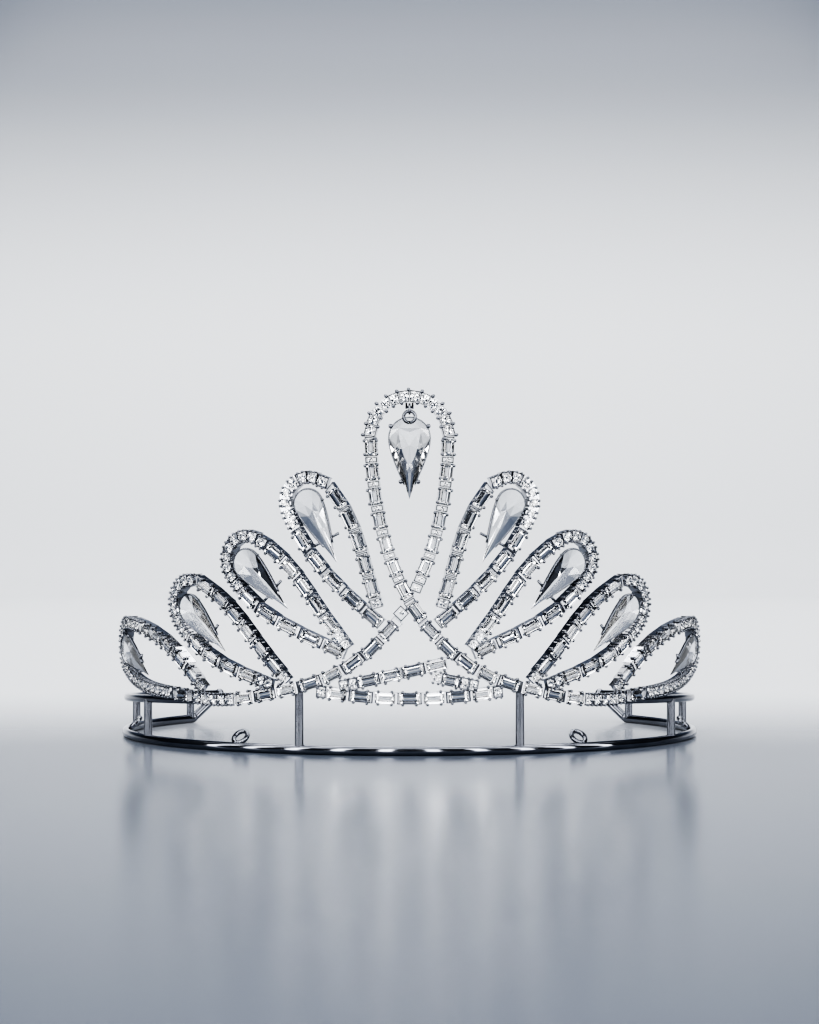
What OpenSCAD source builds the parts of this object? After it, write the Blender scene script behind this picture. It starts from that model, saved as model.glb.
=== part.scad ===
// Tiara with nine claw-set ribbon loops, fixed pear drops and one swinging centre drop.
// Millimetres. +Y is the rear and +Z up. Left and right are as seen from the front, so
// +X is to the right. The origin lies on the floor under the middle of the outline.
// Ribbons follow a slightly flared ring: a place on it is [u, z], with u the distance
// round the ring from the front and z the height.

/* [Base] */
// Width across the base wire, outside to outside
base_w = 150; // [146:0.5:154]
// Diameter of the base wire
wire_d = 2.3; // [2:0.1:2.6]
// Angle from the front to where the base wire turns up, on each side
wire_wrap = 126; // [120:1:128]
// Angle from the front to the rear end of each side rail
rail_wrap = 134; // [132:1:138]
// Angle from the front to the front end of each side rail
rail_start = 44; // [42:1:50]
// Diameter of the side rails
rail_d = 1.9; // [1.6:0.1:2]
// Height of the side rails above the base wire at the widest place, centre to centre
rail_rise = 8.6; // [8:0.1:9.2]
// Fall of the side rails towards the rear, in degrees
rail_tilt = 2.4; // [1.5:0.1:3]
// Diameter of the posts
post_d = 2.1; // [1.8:0.1:2.2]
// Angle of the two front posts from the front
front_post_at = 21; // [19:1:23]
// Top of the two front posts above the floor
front_post_top = 16.6; // [15:0.1:17]
// Angles of the three side posts from the front
side_posts_at = [63, 100, 125]; // [50:1:126]
// Outer diameter of the hairpin eyelets
eyelet_d = 4.8; // [4.4:0.1:5.4]
// Diameter of the eyelets' hole
eyelet_hole_d = 2.6; // [2:0.1:2.8]
// Angles of the two eyelets of each side from the front
eyelets_at = [35, 83]; // [25:1:95]

/* [Ribbons] */
// Radius of the ribbons' middle surface at the floor
ring_r = 75.7; // [75.7:0.1:76.5]
// Flare of that surface outwards, in degrees
flare = 1.5; // [0:0.5:3]
// Width of a ribbon's metal channel
ribbon_w = 2.8; // [2.6:0.1:3]
// Depth of the channel behind the middle surface
ribbon_back = 1.15; // [1:0.05:1.2]
// Depth of the channel in front of the middle surface
ribbon_front = 0.6; // [0.5:0.05:0.7]
// Width of the groove that takes the undersides of the stones
groove_w = 1.9; // [1.8:0.05:2]
// Depth of that groove
groove_h = 1.2; // [1.1:0.05:1.3]
// Length of a baguette stone
baguette_l = 4.9; // [4.4:0.1:5.2]
// Length of the shorter baguettes: the centre loop's above its crossing, the rear cross strip's
short_baguette_l = 4.1; // [3.8:0.1:4.4]
// Distance from one baguette to the next
baguette_pitch = 5.95; // [5.4:0.05:6.2]
// Diameter of a round stone
round_d = 2.24; // [2:0.02:2.3]
// Distance from one round stone to the next
round_pitch = 2.4; // [2.36:0.02:2.6]
// Diameter of the small round stones between the centre loop's baguettes
small_round_d = 1.3; // [1:0.05:1.4]

/* [Centre loop] */
// Centre of the head, [u, z]
centre_head = [0, 76.3]; // [0:0.1:80]
// Radius of the head
centre_head_r = 9.25; // [9:0.05:9.6]
// Where the legs run into the side bands, [u, z]
centre_foot = [27, 16.3]; // [10:0.1:30]
// Slope of the legs at their feet, in degrees
centre_foot_slope = 13; // [8:1:20]

/* [Side loops, inner to outer] */
// Distance of each head's centre round the ring
heads_u = [24.3, 41, 59.2, 89.9]; // [20:0.1:92]
// Height of each head's centre
heads_z = [60.5, 46.5, 35.6, 24.5]; // [20:0.1:64]
// Radius of each head
heads_r = [5.9, 5.85, 5.95, 5.8]; // [5.6:0.05:6.2]
// Where each outer leg leaves its head, in degrees
outer_from = [-24, -37, -43, -63]; // [-70:1:0]
// Where each inner leg leaves its head, in degrees
inner_from = [137, 118, 108, 93]; // [90:1:150]
// Foot of each outer leg round the ring
outer_foot_u = [6.1, 14.8, 37.4, 57.8]; // [5:0.1:60]
// Height of each outer leg's foot
outer_foot_z = [30.9, 23.9, 17.7, 13]; // [12:0.1:32]
// Slope of each outer leg at its foot, in degrees
outer_slope = [40, 26, 16, 6]; // [0:1:60]
// Foot of each inner leg round the ring
inner_foot_u = [7.7, 16.3, 30.4, 55]; // [5:0.05:60]
// Height of each inner leg's foot
inner_foot_z = [35.9, 28, 18.2, 15.1]; // [12:0.1:36]
// Slope of each inner leg at its foot, in degrees
inner_slope = [71, 48, 42, 47]; // [0:1:80]
// Direction of each side pear from its round end to its tip, in degrees
pears_dir = [243, 223, 219, 201]; // [190:1:260]
// Distance of each side pear's round end from the head's centre, towards the tip
pears_shift = [0.4, 1, 1.6, 2]; // [0:0.1:4]

/* [Bands] */
// Height of the centre band's middle at the front
band_z = 13.8; // [13.6:0.1:14]
// Half of the centre band's length round the ring
band_half = 20.2; // [18:0.1:20.4]
// Rise of the centre band at its ends
band_rise = 1.35; // [1.2:0.05:1.5]
// Height at which the two cross strips meet in the middle
cross_z = 20.3; // [20:0.1:20.8]
// Low and high ends of a cross strip, [low u, low z, high u, high z]
cross_ends = [12.4, 17.5, 9, 22.2]; // [8:0.1:24]

/* [Drops] */
// Width and length of the centre drop
drop_size = [9.7, 19.4]; // [6:0.1:20]
// Width and length of the side pears
pear_size = [6.8, 19]; // [5:0.1:20]
// Wire diameter of the link that the centre drop hangs from
link_wire = 0.6; // [0.5:0.05:0.6]
// Wire diameter of the drop's bail
bail_wire = 0.7; // [0.6:0.05:0.7]
// Diameter of the bar under the centre loop's head
bar_d = 0.7; // [0.6:0.05:0.7]

/* [Hidden] */
$fn = 48;
EPS = 0.05;

metal = "gainsboro";
crystal = "lightcyan";

// Height of the baguettes' crown over their seat
CROWN_H = 0.65;
// The wire's corners are a little thicker than the wire, as bent and soldered ones are
corner_d = wire_d + 0.3;
// The rails run a little inside the base wire
RAIL_INSET = 0.25;

// The base ring's radius and how far its centre lies behind the origin
wire_r = (base_w - wire_d) / 2;
wire_z = wire_d / 2;
rail_r = wire_r - RAIL_INSET;
front_reach = ring_r + (centre_head[1] + centre_head_r) * tan(flare) + ribbon_front + EPS + CROWN_H;
rear_reach = -rail_r * cos(rail_wrap) + corner_d / 2;
centre_y = (front_reach - rear_reach) / 2;

// ---- places on the ring ----

function ring_at(z) = ring_r + z * tan(flare);

// The point at [u, z], moved out from the middle surface
function on_ring(p, out = 0) =
    let(r = ring_at(p[1]), a = p[0] / r * 180 / PI)
    [(r + out * cos(flare)) * sin(a), -(r + out * cos(flare)) * cos(a), p[1] - out * sin(flare)];

function normal_at(p) = on_ring(p, 1) - on_ring(p, 0);

function unit(v) = v / norm(v);

// Across, outward and along directions, and the point itself
function frame_of(p, before, after) =
    let(along = unit(on_ring(after) - on_ring(before)),
        across = unit(cross(normal_at(p), along)))
    [across, cross(along, across), along, on_ring(p)];

module in_frame(x, y, z, at) {
    multmatrix([
        [x[0], y[0], z[0], at[0]],
        [x[1], y[1], z[1], at[1]],
        [x[2], y[2], z[2], at[2]],
        [0, 0, 0, 1]
    ]) children();
}

// ---- paths, as lists of [u, z] ----

function polar(r, a) = r * [cos(a), sin(a)];

function bezier(a, b, c, d, t) =
    pow(1 - t, 3) * a + 3 * t * pow(1 - t, 2) * b + 3 * t * t * (1 - t) * c + pow(t, 3) * d;

LEG_STEPS = 11;
PULL = 0.38;

// A leg from its foot up to where it meets the head's circle; turn is 1 or -1, the way
// that the circle is followed from there
function leg(head, r, from, turn, foot, foot_dir) =
    let(top = head + polar(r, from),
        reach = norm(top - foot) * PULL,
        rise = polar(reach, from - turn * 90),
        lead = polar(reach, foot_dir))
    [for (i = [0 : LEG_STEPS]) bezier(foot, foot - lead, top + rise, top, i / LEG_STEPS)];

function head_arc(head, r, from, to, steps) =
    [for (i = [0 : steps]) head + polar(r, from + (to - from) * i / steps)];

function reversed(p) = [for (i = [len(p) - 1 : -1 : 0]) p[i]];

function tail(p) = [for (i = [1 : len(p) - 1]) p[i]];

// Distance along a path to each of its points
function lengths(p) =
    [for (i = 0, s = 0; i < len(p); s = s + (i + 1 < len(p) ? norm(p[i + 1] - p[i]) : 0), i = i + 1) s];

function path_length(p) = let(s = lengths(p)) s[len(s) - 1];

function along_path(p, d) =
    let(s = lengths(p))
    [lookup(d, [for (i = [0 : len(p) - 1]) [s[i], p[i][0]]]),
     lookup(d, [for (i = [0 : len(p) - 1]) [s[i], p[i][1]]])];

// The stretch of a path between two distances along it
function stretch(p, from, to, steps) =
    [for (i = [0 : steps]) along_path(p, from + (to - from) * i / steps)];

function frame_along(p, d) =
    frame_of(along_path(p, d), along_path(p, d - 0.5), along_path(p, d + 0.5));

// ---- ribbon channel: a swept bar with a groove in its front face ----

// The section's corners that make up its end faces, as triangles
CAP = [[0, 1, 4], [0, 4, 5], [0, 5, 6], [0, 6, 7], [1, 2, 3], [1, 3, 4]];

// first_cut and last_cut are the slopes of the two end faces, 0 for a square end
module channel(path, first_cut = 0, last_cut = 0) {
    last = len(path) - 1;
    half = ribbon_w / 2;
    inner = groove_w / 2;
    floor_n = ribbon_front - groove_h;
    section = [
        [-half, -ribbon_back], [half, -ribbon_back], [half, ribbon_front], [inner, ribbon_front],
        [inner, floor_n], [-inner, floor_n], [-inner, ribbon_front], [-half, ribbon_front]
    ];
    m = len(section);
    points = [
        for (i = [0 : last])
            let(f = frame_of(path[i], path[max(i - 1, 0)], path[min(i + 1, last)]),
                cut = i == 0 ? first_cut : i == last ? last_cut : 0)
            for (q = section) f[3] + q[0] * (f[0] + cut * f[2]) + q[1] * f[1]
    ];
    walls = [
        for (i = [0 : last - 1], k = [0 : m - 1])
            let(a = i * m + k, b = i * m + (k + 1) % m)
            for (t = [[a, a + m, b + m], [a, b + m, b]]) t
    ];
    last_end = [for (t = CAP) [t[2] + last * m, t[1] + last * m, t[0] + last * m]];
    polyhedron(points, concat(CAP, last_end, walls));
}

// ---- stones ----

BAG_HALF = 1.3;
BAG_TABLE = 0.75;
GIRDLE_H = 0.25;
STONE_GAP = 0.1;
KEEL_H = 0.95;

module baguette(f, length) {
    in_frame(f[0], f[1], f[2], f[3] + (ribbon_front + EPS) * f[1])
        linear_extrude(length, center = true)
            polygon([
                [BAG_HALF, 0], [BAG_HALF, GIRDLE_H], [BAG_TABLE, CROWN_H], [-BAG_TABLE, CROWN_H],
                [-BAG_HALF, GIRDLE_H], [-BAG_HALF, 0], [-0.85, 0], [-0.3, -KEEL_H], [0.3, -KEEL_H],
                [0.85, 0]
            ]);
}

module round_stone(f, d = round_d) {
    r = d / 2;
    in_frame(f[2], f[0], f[1], f[3] + (ribbon_front + EPS) * f[1])
        rotate_extrude()
            polygon([
                [0, -0.72 * r], [0.68 * r, 0], [r, 0], [r, 0.2 * r], [0.58 * r, 0.5 * r], [0, 0.5 * r]
            ]);
}

module baguettes_along(path, places, length = baguette_l) {
    for (d = places) baguette(frame_along(path, d), length);
}

module rounds_along(path, places, d = round_d) {
    for (s = places) round_stone(frame_along(path, s), d);
}

// Evenly spread places between two distances along a path, as near the pitch as the stones'
// size allows
function spread(from, to, pitch, size) =
    let(l = to - from,
        n = max(1, min(round(l / pitch), floor(l / (size + STONE_GAP)))))
    [for (i = [0 : n - 1]) from + (i + 0.5) * l / n];

function baguette_places(from, to) = spread(from, to, baguette_pitch, baguette_l);

function round_places(from, to) = spread(from, to, round_pitch, round_d);

// ---- the nine loops ----

HEAD_STEPS = 10;

function side_leg(i, outer) =
    outer
    ? leg([heads_u[i], heads_z[i]], heads_r[i], outer_from[i], 1,
          [outer_foot_u[i], outer_foot_z[i]], 180 + outer_slope[i])
    : leg([heads_u[i], heads_z[i]], heads_r[i], inner_from[i], -1,
          [inner_foot_u[i], inner_foot_z[i]], 180 + inner_slope[i]);

function side_head(i) =
    head_arc([heads_u[i], heads_z[i]], heads_r[i], outer_from[i], inner_from[i], HEAD_STEPS);

// From the outer leg's foot, over the head, to where the inner leg leaves it
function outer_half(i) = concat(side_leg(i, true), tail(side_head(i)));

// Slope of each inner leg's end face, which meets the outer leg's side
inner_end_cut = [1.5, 0, 0, 0];

function centre_leg(side) =
    leg(centre_head, centre_head_r, side > 0 ? 180 : 0, -side,
        [side * centre_foot[0], centre_foot[1]], side > 0 ? -centre_foot_slope : 180 + centre_foot_slope);

// side 1: the ribbon with its foot on +X, which passes in front; side -1: its mirror image
function centre_half(side) =
    concat(centre_leg(side), tail(head_arc(centre_head, centre_head_r, side > 0 ? 180 : 0, 90, HEAD_STEPS)));

// Share of each side loop's legs that holds rounds below the head
outer_rounds = [0.12, 0.12, 0.2, 0.75];
inner_rounds = [0.04, 0.1, 0.04, 0.2];
// A smaller share of an inner leg than this is left empty
LEAST_SHARE = 0.08;
// Distance from each leg's foot to its first baguette's share
OUTER_START = 0.4;
INNER_START = 1.6;

module side_loop_setting(i) {
    inner = side_leg(i, false);
    color(metal) channel(concat(outer_half(i), tail(reversed(inner))), 0, inner_end_cut[i]);
}

module side_loop_baguettes(i) {
    outer = side_leg(i, true);
    inner = side_leg(i, false);
    outer_end = path_length(outer) * (1 - outer_rounds[i]);
    inner_end = path_length(inner) * (1 - inner_rounds[i]);
    color(crystal) {
        baguettes_along(outer, baguette_places(OUTER_START, outer_end));
        baguettes_along(inner, baguette_places(INNER_START, inner_end));
    }
}

module side_loop_rounds(i) {
    outer = outer_half(i);
    leg_l = path_length(side_leg(i, true));
    inner = side_leg(i, false);
    inner_l = path_length(inner);
    color(crystal) {
        rounds_along(outer, round_places(leg_l * (1 - outer_rounds[i]), path_length(outer)));
        if (inner_rounds[i] > LEAST_SHARE)
            rounds_along(inner, round_places(inner_l * (1 - inner_rounds[i]), inner_l));
    }
}

// ---- centre loop ----

// Distance from a centre leg's foot to the crossing, found where the leg passes u = 0
function crossing_at(path) =
    let(s = lengths(path))
    lookup(0, [for (i = [0 : LEG_STEPS]) [-path[i][0], s[i]]]);

// Sine and cosine of the angle at which a path meets its own mirror image at a distance x
function meeting(path, x) =
    let(d = unit(along_path(path, x + 1) - along_path(path, x - 1)))
    [2 * abs(d[0] * d[1]), abs(d[0] * d[0] - d[1] * d[1])];

// Slope of the end faces of a ribbon that is interrupted by the one in front
function cut_slope(m) = min(1, m[1] / m[0]);

// Half the gap that the one in front leaves in it, with room at its sides
function cut_gap(m, room) = (ribbon_w / 2 * (1 + m[1] - cut_slope(m) * m[0]) + room) / m[0];

// Distance from the crossing within which the leg behind holds no baguette, and from where
// on small rounds stand between the baguettes
CROSS_CLEAR = 6.3;
ROUND_CLEAR = 4;
// Distance from the crossing of the two small rounds beside it
CROSS_ROUND = 3.35;
// Room beside the ribbon in front where the one behind is interrupted
LOOP_ROOM = 0.35;
// Distance from the foot of each leg to its first baguette's share
LOOP_START = 0.2;

// The front leg is whole. The leg behind stops at its side and goes on from the other side.
module centre_loop_setting() {
    front = centre_half(1);
    behind = centre_half(-1);
    x = crossing_at(centre_leg(1));
    m = meeting(front, x);
    upper = stretch(behind, path_length(behind), x + cut_gap(m, LOOP_ROOM), LEG_STEPS + HEAD_STEPS);
    lower = stretch(behind, 0, x - cut_gap(m, LOOP_ROOM), LEG_STEPS);
    color(metal) {
        channel(concat(front, tail(upper)), 0, cut_slope(m));
        channel(lower, 0, cut_slope(m));
    }
}

function centre_places() = baguette_places(LOOP_START, path_length(centre_leg(1)));

module centre_loop_baguettes() {
    front = centre_leg(1);
    behind = centre_leg(-1);
    x = crossing_at(front);
    places = centre_places();
    color(crystal) {
        baguettes_along(front, [for (d = places) if (d < x) d]);
        baguettes_along(front, [for (d = places) if (d > x) d], short_baguette_l);
        baguettes_along(behind, [for (d = places) if (d < x - CROSS_CLEAR) d]);
        baguettes_along(behind, [for (d = places) if (d > x + CROSS_CLEAR) d], short_baguette_l);
    }
}

module centre_loop_rounds() {
    front = centre_leg(1);
    behind = centre_leg(-1);
    x = crossing_at(front);
    leg_l = path_length(front);
    places = centre_places();
    between = [for (i = [0 : len(places) - 2]) (places[i] + places[i + 1]) / 2];
    color(crystal) {
        rounds_along(centre_half(1), round_places(leg_l, path_length(centre_half(1))));
        rounds_along(centre_half(-1), round_places(leg_l, path_length(centre_half(-1))));
        rounds_along(front, [for (d = between) if (d > x + ROUND_CLEAR) d], small_round_d);
        rounds_along(behind, [for (d = between) if (d > x + ROUND_CLEAR) d], small_round_d);
        rounds_along(behind, [x - CROSS_ROUND, x + CROSS_ROUND], small_round_d);
    }
}

// ---- bands and cross strips ----

BAND_STEPS = 14;
SIDE_BAND_STEPS = 11;
JOINT_GAP = 0.1;

function centre_band() =
    [for (i = [-BAND_STEPS / 2 : BAND_STEPS / 2])
        let(k = i / (BAND_STEPS / 2)) [k * band_half, band_z + band_rise * k * k]];

// Runs from the centre loop's foot to the outer loop's foot on +X
function side_band() =
    let(a = centre_foot + [JOINT_GAP, -JOINT_GAP * tan(centre_foot_slope)],
        d = [outer_foot_u[3] - JOINT_GAP, outer_foot_z[3]],
        pull = (d[0] - a[0]) * PULL)
    [for (i = [0 : SIDE_BAND_STEPS])
        bezier(a, a + polar(pull, -centre_foot_slope), d + polar(pull, 180 + outer_slope[3]), d,
               i / SIDE_BAND_STEPS)];

STRIP_STEPS = 9;

// side 1 rises towards +X and passes in front; side -1 is its mirror image
function cross_strip(side) =
    [for (i = [0 : STRIP_STEPS])
        let(p = bezier([-cross_ends[0], cross_ends[1]], [-cross_ends[0] / 2, cross_z - 1.55],
                       [cross_ends[2] / 2, cross_z + 1], [cross_ends[2], cross_ends[3]], i / STRIP_STEPS))
        [side * p[0], p[1]]];

module centre_band_setting() {
    color(metal) channel(centre_band());
}

module side_band_setting() {
    color(metal) channel(side_band());
}

BAND_BAGUETTE_SHARE = 0.58;

module band_baguettes() {
    l = path_length(side_band());
    color(crystal) {
        baguettes_along(centre_band(), baguette_places(0, path_length(centre_band())));
        for (m = [0, 1]) mirror([m, 0, 0])
            baguettes_along(side_band(), baguette_places(0, l * BAND_BAGUETTE_SHARE));
    }
}

module band_rounds() {
    l = path_length(side_band());
    color(crystal)
        for (m = [0, 1]) mirror([m, 0, 0])
            rounds_along(side_band(), round_places(l * BAND_BAGUETTE_SHARE, l));
}

STRIP_ROOM = 0.5;

module cross_strip_setting_front() {
    color(metal) channel(cross_strip(1));
}

// The strip behind is interrupted by the one in front
module cross_strip_setting_back() {
    behind = cross_strip(-1);
    x = crossing_of_strip();
    m = meeting(behind, x);
    gap = cut_gap(m, STRIP_ROOM);
    color(metal) {
        channel(stretch(behind, 0, x - gap, 3), 0, cut_slope(m));
        channel(stretch(behind, x + gap, path_length(behind), 1), cut_slope(m), 0);
    }
}

STRIP_PITCH = 5.4;
// The strip behind holds stones only at its low end, this far from the crossing
STRIP_CLEAR = 5.2;

module cross_strip_baguettes() {
    places = spread(0, path_length(cross_strip(1)), STRIP_PITCH, baguette_l);
    x = crossing_of_strip();
    color(crystal) {
        baguettes_along(cross_strip(1), places);
        baguettes_along(cross_strip(-1), [for (d = places) if (d < x - STRIP_CLEAR) d],
                        short_baguette_l);
    }
}

function crossing_of_strip() =
    let(p = cross_strip(1), s = lengths(p))
    lookup(0, [for (i = [0 : STRIP_STEPS]) [p[i][0], s[i]]]);

// ---- base ----

// A tube that follows the ring of radius r from one angle to another, measured from the front
module arc_tube(r, d, from, to) {
    rotate([0, 0, from - 90]) rotate_extrude(angle = to - from, $fn = 120) translate([r, 0]) circle(d = d);
}

function base_point(r, a, z) = [r * sin(a), -r * cos(a), z];

// The end of a side rail on +X, in the ring's own frame
rail_end = let(p = base_point(rail_r, rail_wrap, 0))
    [p[0], p[1] * cos(rail_tilt), wire_z + rail_rise - p[1] * sin(rail_tilt)];
wire_end = base_point(wire_r, wire_wrap, wire_z);

module bar_between(a, b, d) {
    v = b - a;
    translate(a)
        rotate([0, acos(v[2] / norm(v)), atan2(v[1], v[0])])
            cylinder(d = d, h = norm(v));
}

// The upright ends stand this much higher than the base wire's axis
CORNER_LIFT = 0.25;

module half_base() {
    translate([0, 0, wire_z]) arc_tube(wire_r, wire_d, 0, wire_wrap);
    translate(wire_end + [0, 0, CORNER_LIFT]) sphere(d = corner_d);
    bar_between(wire_end, rail_end, wire_d);
    translate(rail_end) sphere(d = corner_d);
}

module rail_tube(d = rail_d) {
    translate([0, 0, wire_z + rail_rise]) rotate([-rail_tilt, 0, 0]) arc_tube(rail_r, d, rail_start, rail_wrap);
}

module base_wire() {
    color(metal) {
        half_base();
        mirror([1, 0, 0]) half_base();
    }
}

module side_rail() {
    color(metal) difference() {
        rail_tube();
        translate(rail_end) sphere(d = corner_d + EPS);
        bar_between(wire_end, rail_end, wire_d + EPS);
    }
}

module front_post() {
    color(metal) difference() {
        translate(base_point(wire_r, front_post_at, wire_z)) cylinder(d = post_d, h = front_post_top - wire_z);
        translate([0, 0, wire_z]) arc_tube(wire_r, wire_d + EPS, front_post_at - 10, front_post_at + 10);
    }
}

module side_posts() {
    color(metal) difference() {
        for (a = side_posts_at)
            translate(base_point((wire_r + rail_r) / 2, a, wire_z)) cylinder(d = post_d, h = rail_rise + 2);
        translate([0, 0, wire_z]) arc_tube(wire_r, wire_d + EPS, 0, wire_wrap + 0.5);
        translate(wire_end + [0, 0, CORNER_LIFT]) sphere(d = corner_d + EPS);
        bar_between(wire_end, rail_end, wire_d + EPS);
        rail_tube(rail_d + EPS);
        translate([0, 0, wire_z + rail_rise]) rotate([-rail_tilt, 0, 0])
            rotate([0, 0, -90]) rotate_extrude(angle = 140, $fn = 120)
                translate([rail_r - 2, 0]) square([4, 4]);
    }
}

EYELET_LEAN = 45;
EYELET_LAND = 0.5;
// How far the eyelet is notched round the base wire that it is soldered to
EYELET_SINK = 0.35;

// A ring of rounded wire with a short straight land inside its hole. It stands on the
// inner side of the base wire and leans inwards.
module eyelet(a) {
    wire = (eyelet_d - eyelet_hole_d) / 2;
    offset_r = wire_d / 2 + eyelet_d / 2 - EYELET_SINK;
    color(metal) difference() {
        rotate([0, 0, a])
            translate([0, -wire_r + offset_r * cos(EYELET_LEAN), wire_z + offset_r * sin(EYELET_LEAN)])
                rotate([EYELET_LEAN, 0, 0])
                    rotate_extrude()
                        intersection() {
                            translate([eyelet_hole_d / 2 + wire / 2, 0])
                                circle(d = norm([wire, EYELET_LAND]), $fn = 32);
                            translate([eyelet_hole_d / 2, -wire]) square([wire, 2 * wire]);
                        }
        translate([0, 0, wire_z]) arc_tube(wire_r, wire_d + EPS, a - 10, a + 10);
    }
}

// ---- drops ----

// Outline of a pear: a half circle of radius r, and sides that close to a tip at -h
function pear_outline(r, h, steps = 8) =
    let(side = [for (i = [1 : steps]) bezier([r, 0], [r, -0.3 * h], [0.2 * r, -0.72 * h], [0, -h], i / steps)])
    concat([for (i = [0 : steps]) polar(r, 180 * i / steps)],
           [for (i = [1 : steps]) let(p = side[i - 1]) [-p[0], p[1]]],
           [for (i = [steps - 2 : -1 : 0]) side[i]]);

// A pear stone lies in the XY plane, crown up, round end at +Y, head's centre at the origin
module pear_stone(size, crown, pavilion, girdle = 0.3) {
    r = size[0] / 2;
    h = size[1] - r;
    rim = pear_outline(r, h);
    m = len(rim);
    mid = [0, -0.22 * h];
    points = concat(
        [for (p = rim) let(q = mid + 0.55 * (p - mid)) [q[0], q[1], crown]],
        [for (p = rim) [p[0], p[1], girdle / 2]],
        [for (p = rim) [p[0], p[1], -girdle / 2]],
        [[mid[0], mid[1], -pavilion]]
    );
    faces = concat(
        [[for (k = [m - 1 : -1 : 0]) k]],
        [for (ring = [0, 1], k = [0 : m - 1])
            let(a = ring * m + k, b = ring * m + (k + 1) % m)
            for (t = [[a, b, b + m], [a, b + m, a + m]]) t],
        [for (k = [0 : m - 1]) [2 * m + k, 2 * m + (k + 1) % m, 3 * m]]
    );
    polyhedron(points, faces);
}

// A thin collar round a pear's girdle, left open at the tip
module pear_collar(size, keep, thick = 0.3, height = 0.8) {
    r = size[0] / 2;
    h = size[1] - r;
    difference() {
        linear_extrude(height, center = true) polygon(pear_outline(r + thick, h + 3 * thick));
        linear_extrude(height + 1, center = true) polygon(pear_outline(r + 0.04, h + 0.14));
        translate([-r - 1, -h - 3, -height]) cube([2 * r + 2, 3 + h * (1 - keep), 2 * height]);
    }
}

// Places children in the pear's own plane: head's centre at [u, z], tip towards dir
module pear_frame(p, dir, out) {
    n = unit(normal_at(p));
    up = unit(on_ring(p + [0, 1]) - on_ring(p));
    side = cross(up, n);
    y = -(side * cos(dir) + up * sin(dir));
    in_frame(cross(y, n), y, n, on_ring(p) + out * n) children();
}

PEAR_OUT = 0.1;

function pear_place(i) = [heads_u[i], heads_z[i]] + polar(pears_shift[i], pears_dir[i]);

// Crown and pavilion heights of the side pears and of the centre drop
PEAR_CUT = [1.3, 1.7];
DROP_CUT = [1.5, 2.1];

module side_pear(i) {
    color(crystal)
        pear_frame(pear_place(i), pears_dir[i], PEAR_OUT)
            pear_stone(pear_size, PEAR_CUT[0], PEAR_CUT[1]);
}

PIN_D = 0.8;
// Where the pins stand, as a share of the way from the round end to the tip
PIN_AT = 0.62;
PIN_LENGTHS = [[1.6, 1.9], [1.5, 1.9], [1.3, 1.5], [1, 1.2]];
// Share of the way to the tip where the collars end
PEAR_COLLAR_KEEP = 0.78;
DROP_COLLAR_KEEP = 0.8;

module side_pear_claws() {
    r = pear_size[0] / 2;
    h = pear_size[1] - r;
    x = r * (1 - PIN_AT) * 1.12 + 0.25;
    color(metal)
        for (i = [0 : 3])
            pear_frame(pear_place(i), pears_dir[i], PEAR_OUT) {
                pear_collar(pear_size, PEAR_COLLAR_KEEP);
                for (s = [0, 1]) mirror([s, 0, 0])
                    translate([x, -h * PIN_AT, 0]) rotate([0, 90, 0]) cylinder(d = PIN_D, h = PIN_LENGTHS[i][s]);
            }
}

// ---- hanging parts under the centre loop's head ----

hang_top = centre_head[1] + centre_head_r - ribbon_w / 2;
LINK_BEND = 0.8;
PLAY = 0.05;
// The bar lies this far under the head's ribbon and behind its middle surface
BAR_DROP = 1.2;
HANG_BACK = 0.3;
BAIL_GAP = 0.15;
bar_z = hang_top - BAR_DROP;
hang_y = -ring_at(bar_z) + HANG_BACK;
link_top = bar_z + bar_d / 2 + link_wire / 2 + PLAY;
bail_z = bar_z - bar_d / 2 - BAIL_GAP - bail_wire / 2;
link_low = bail_z - bail_wire / 2 - link_wire / 2 - PLAY;
BAIL_R = 1.4;
bail_centre = bail_z - BAIL_R;
drop_r = drop_size[0] / 2;
// Gap between the bail's foot and the stone's round end
BAIL_SEAT = 0.2;
drop_head_z = bail_centre - BAIL_SEAT - drop_r;

CHEEK_X = 0.5;
CHEEK_T = 0.5;

module hanger_bar() {
    color(metal) translate([0, hang_y, 0]) {
        translate([-CHEEK_X - CHEEK_T, 0, bar_z]) rotate([0, 90, 0])
            cylinder(d = bar_d, h = 2 * (CHEEK_X + CHEEK_T));
        for (m = [0, 1]) mirror([m, 0, 0]) translate([CHEEK_X, 0, 0]) {
            translate([0, -0.4, bar_z]) cube([CHEEK_T, 0.8, hang_top - bar_z - 0.12]);
            translate([0, 0, bar_z]) rotate([0, 90, 0]) cylinder(d = 0.8, h = CHEEK_T);
        }
    }
}

// Half of a round wire ring that lies in the XZ plane, open downwards
module half_ring(r, d) {
    rotate([90, 0, 0]) rotate_extrude(angle = 180) translate([r, 0]) circle(d = d, $fn = 24);
}

module hanger_link() {
    high = link_top - LINK_BEND;
    low = link_low + LINK_BEND;
    color(metal) translate([0, hang_y, 0]) rotate([0, 0, 90]) {
        translate([0, 0, high]) half_ring(LINK_BEND, link_wire);
        translate([0, 0, low]) rotate([180, 0, 0]) half_ring(LINK_BEND, link_wire);
        for (x = [-LINK_BEND, LINK_BEND]) translate([x, 0, low])
            cylinder(d = link_wire, h = high - low, $fn = 24);
    }
}

module drop_frame() {
    translate([0, hang_y, drop_head_z]) rotate([90, 0, 0]) children();
}

// Prongs of the centre drop: [across, along] from its head's centre
DROP_PRONGS = [[4.45, 2.8], [2, -10.4]];
BEAD_R = 0.5;

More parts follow.
